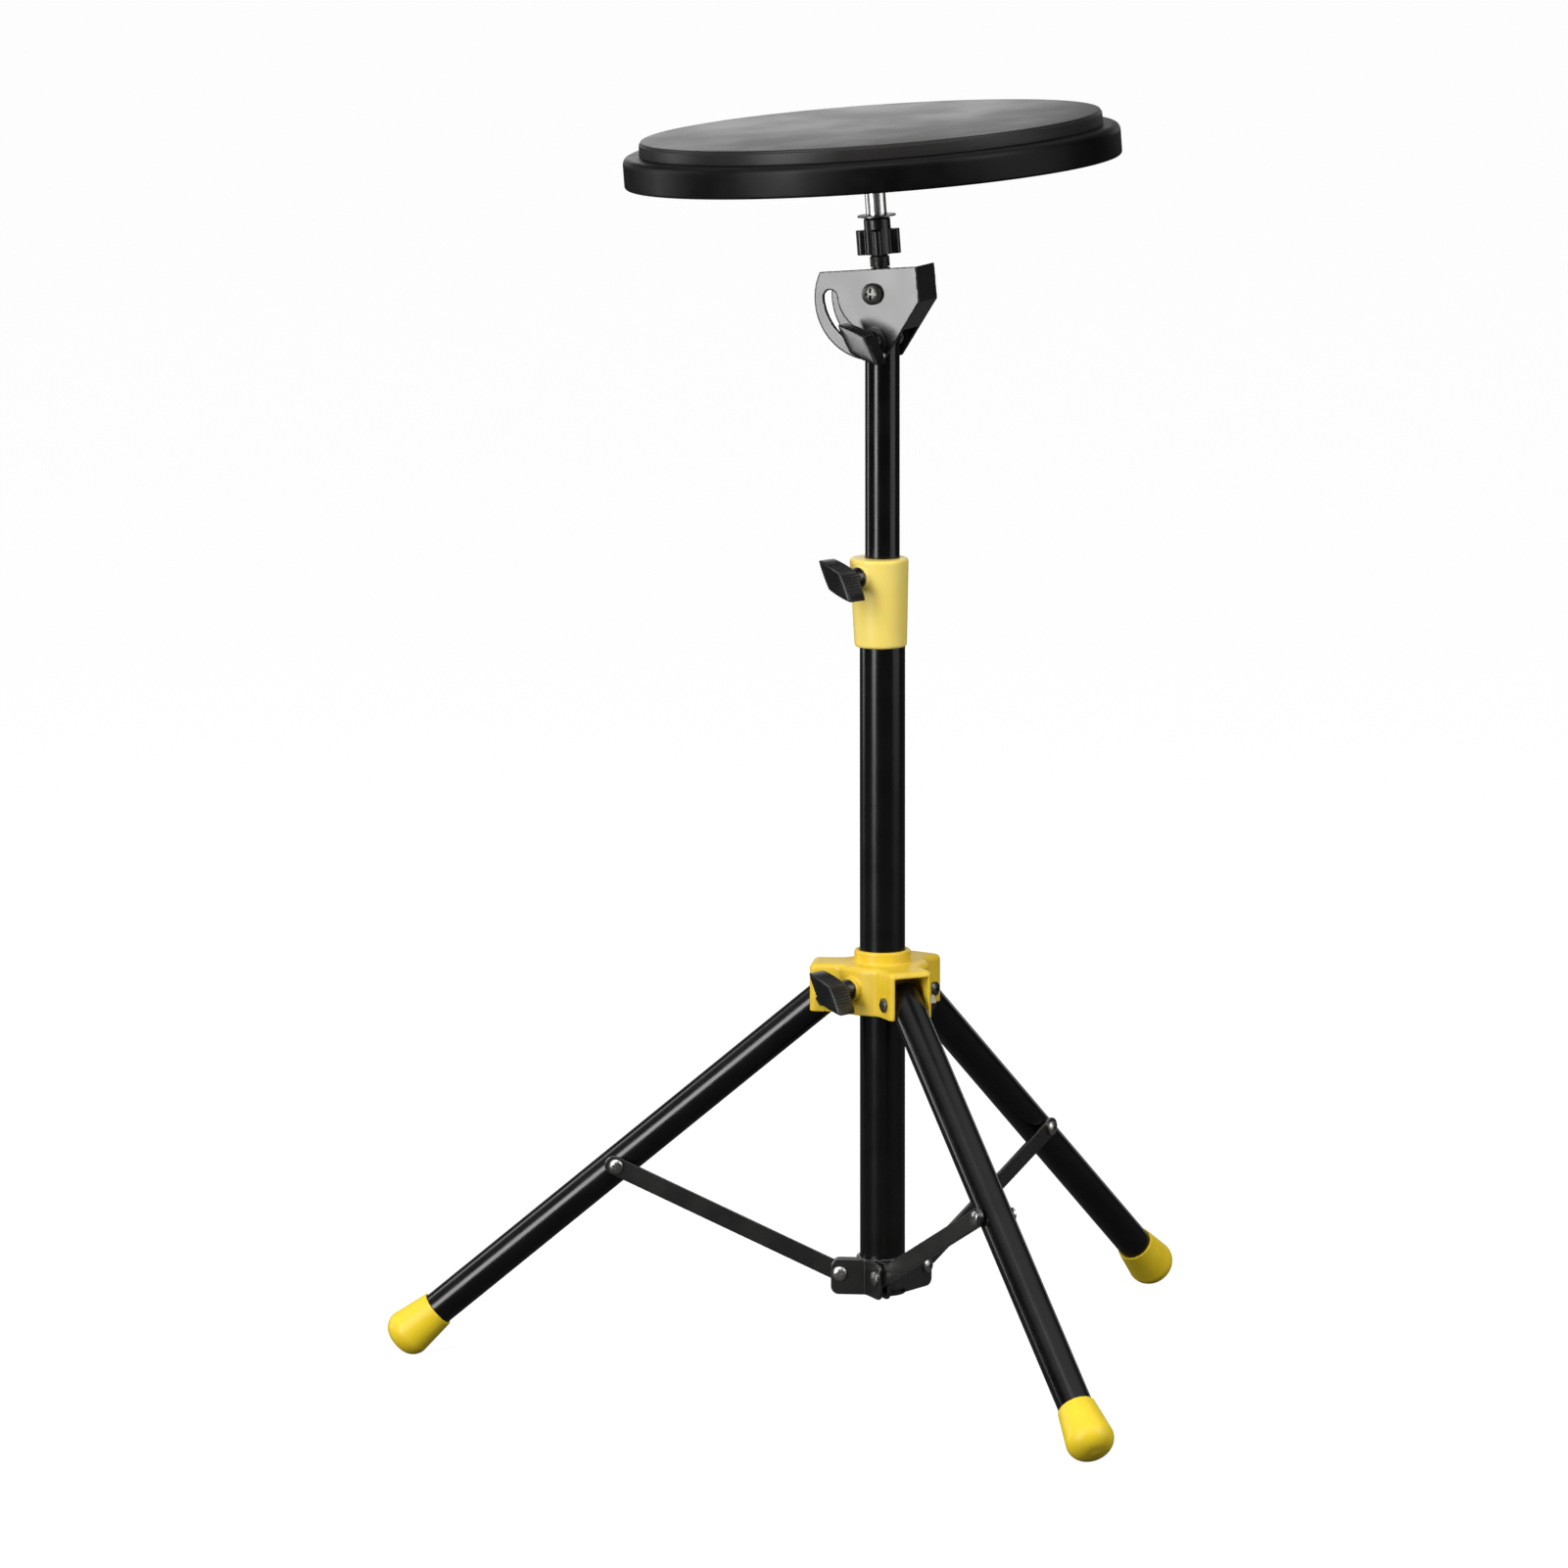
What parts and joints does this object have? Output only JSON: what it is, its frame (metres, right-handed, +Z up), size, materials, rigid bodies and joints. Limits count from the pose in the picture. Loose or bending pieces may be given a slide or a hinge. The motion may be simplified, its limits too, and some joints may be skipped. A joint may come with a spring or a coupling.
{
  "type": "practice pad",
  "caption": "Round drum practice pad with a rubber face on a folding tripod stand with telescoping column and tilting head.",
  "frame": {"origin": "on the floor, on the axis of the column, where the stance mount is", "axes": "+Z up along the column, +Y to the back, +X to the right; one leg points left, one to the front, one to the back right"},
  "size_m": [0.4442, 0.4832, 0.6994],
  "materials": {
    "black_tube": "satin black powder coat on steel tube",
    "black_sheet": "satin black paint on stamped steel",
    "yellow_plastic": "moulded yellow ABS, soft sheen",
    "pale_plastic": "moulded pale yellow ABS, soft sheen",
    "yellow_rubber": "yellow moulded rubber",
    "black_plastic": "moulded black nylon",
    "nylon": "natural nylon",
    "dark_steel": "black oxide",
    "zinc_steel": "zinc plated",
    "chrome": "polished",
    "brass": "machined",
    "pad_rubber": "matt dark grey rubber",
    "base_wood": "satin black lacquer over board"
  },
  "bodies": {
    "column": {"lower_tube": "black_tube", "clamp_collar": "pale_plastic", "bottom_bracket": "black_sheet", "fork_screws": "zinc_steel", "fork_nuts": "dark_steel", "column_plug": "black_plastic"},
    "clamp_wing": {"clamp_wing_head": "black_plastic", "clamp_wing_screw": "zinc_steel"},
    "hub": {"slide_hub": "yellow_plastic", "leg_bolts": "dark_steel", "leg_nuts": "dark_steel"},
    "hub_wing": {"hub_wing_head": "black_plastic", "hub_wing_screw": "zinc_steel"},
    "left_leg": {"leg_tube_left": "black_tube", "leg_plug_left": "black_plastic", "foot_cap_left": "yellow_rubber", "leg_rivet_left": "zinc_steel"},
    "front_leg": {"leg_tube_front": "black_tube", "leg_plug_front": "black_plastic", "foot_cap_front": "yellow_rubber", "leg_rivet_front": "zinc_steel"},
    "right_leg": {"leg_tube_right": "black_tube", "leg_plug_right": "black_plastic", "foot_cap_right": "yellow_rubber", "leg_rivet_right": "zinc_steel"},
    "left_brace": {"brace_left": "black_sheet", "brace_screw_left": "zinc_steel"},
    "front_brace": {"brace_front": "black_sheet", "brace_screw_front": "zinc_steel"},
    "right_brace": {"brace_right": "black_sheet", "brace_screw_right": "zinc_steel"},
    "glide": {"tube_glide": "nylon"},
    "upper": {"upper_tube": "black_tube", "pivot_bolt": "dark_steel", "pivot_nut": "zinc_steel", "tilt_nut": "zinc_steel"},
    "tilt_wing": {"tilt_wing_head": "black_plastic", "tilt_wing_screw": "zinc_steel", "tilt_washer": "dark_steel"},
    "head": {"tilt_bracket": "black_sheet", "head_stud": "dark_steel", "jam_washer": "dark_steel"},
    "lock_knob": {"lock_knob": "black_plastic", "knob_insert": "brass"},
    "pad": {"playing_surface": "pad_rubber", "base_board": "base_wood", "base_inserts": "brass", "flange_plate": "zinc_steel", "flange_barrel": "chrome", "flange_washers": "zinc_steel", "flange_screws": "dark_steel"}
  },
  "joints": [
    {"name": "hub_slide", "type": "slide", "parent": "column", "child": "hub", "axis": [0, 0, 1], "range_m": [0, 0.13349]},
    {"name": "hub_wing_turn", "type": "hinge", "parent": "hub", "child": "hub_wing", "pos_m": [-0.0188, -0.02088, 0.2148], "axis": [-0.6691, -0.7431, 0], "continuous": true},
    {"name": "clamp_wing_turn", "type": "hinge", "parent": "column", "child": "clamp_wing", "pos_m": [-0.01325, -0.01471, 0.443], "axis": [-0.6691, -0.7431, 0], "continuous": true},
    {"name": "left_leg_hinge", "type": "hinge", "parent": "hub", "child": "left_leg", "pos_m": [-0.03086, 0.003, 0.2085], "axis": [-0.0967, -0.9953, 0], "range_deg": [-0.2, 47.4]},
    {"name": "front_leg_hinge", "type": "hinge", "parent": "hub", "child": "front_leg", "pos_m": [0.01283, -0.02822, 0.2085], "axis": [0.9103, 0.4139, 0], "range_deg": [-0.2, 47.4]},
    {"name": "right_leg_hinge", "type": "hinge", "parent": "hub", "child": "right_leg", "pos_m": [0.01802, 0.02522, 0.2085], "axis": [-0.8136, 0.5814, 0], "range_deg": [-0.2, 47.4]},
    {"name": "left_brace_hinge", "type": "hinge", "parent": "column", "child": "left_brace", "pos_m": [-0.0224, 0.00218, 0.0535], "axis": [0.0967, 0.9953, 0], "range_deg": [-0.2, 58.75]},
    {"name": "front_brace_hinge", "type": "hinge", "parent": "column", "child": "front_brace", "pos_m": [0.00931, -0.02048, 0.0535], "axis": [-0.9103, -0.4139, 0], "range_deg": [-0.2, 58.75]},
    {"name": "right_brace_hinge", "type": "hinge", "parent": "column", "child": "right_brace", "pos_m": [0.01308, 0.01831, 0.0535], "axis": [0.8136, -0.5814, 0], "range_deg": [-0.2, 58.75]},
    {"name": "height_slide", "type": "slide", "parent": "column", "child": "glide", "axis": [0, 0, 1], "range_m": [-0.104, 0.15]},
    {"name": "swivel", "type": "hinge", "parent": "glide", "child": "upper", "pos_m": [0, 0, 0.4], "axis": [0, 0, 1], "continuous": true},
    {"name": "pad_tilt", "type": "hinge", "parent": "upper", "child": "head", "pos_m": [0, 0, 0.599], "axis": [-0.4067, -0.9135, 0], "range_deg": [-8.2, 82.8]},
    {"name": "tilt_wing_turn", "type": "hinge", "parent": "upper", "child": "tilt_wing", "pos_m": [-0.00573, -0.01288, 0.573], "axis": [-0.4067, -0.9135, 0], "continuous": true},
    {"name": "lock_knob_turn", "type": "hinge", "parent": "head", "child": "lock_knob", "pos_m": [-0.00234, 0.00057, 0.6289], "axis": [-0.0712, 0.003, 0.9975], "continuous": true},
    {"name": "pad_turn", "type": "hinge", "parent": "head", "child": "pad", "pos_m": [-0.00447, 0.00066, 0.65882], "axis": [-0.0712, 0.003, 0.9975], "continuous": true}
  ],
  "couplings": [
    {"joint": "left_leg_hinge", "follows": "hub_slide", "rad_per_m": 6.1581},
    {"joint": "front_leg_hinge", "follows": "hub_slide", "rad_per_m": 6.1581},
    {"joint": "right_leg_hinge", "follows": "hub_slide", "rad_per_m": 6.1581},
    {"joint": "left_brace_hinge", "follows": "hub_slide", "rad_per_m": 7.6425},
    {"joint": "front_brace_hinge", "follows": "hub_slide", "rad_per_m": 7.6425},
    {"joint": "right_brace_hinge", "follows": "hub_slide", "rad_per_m": 7.6425}
  ]
}
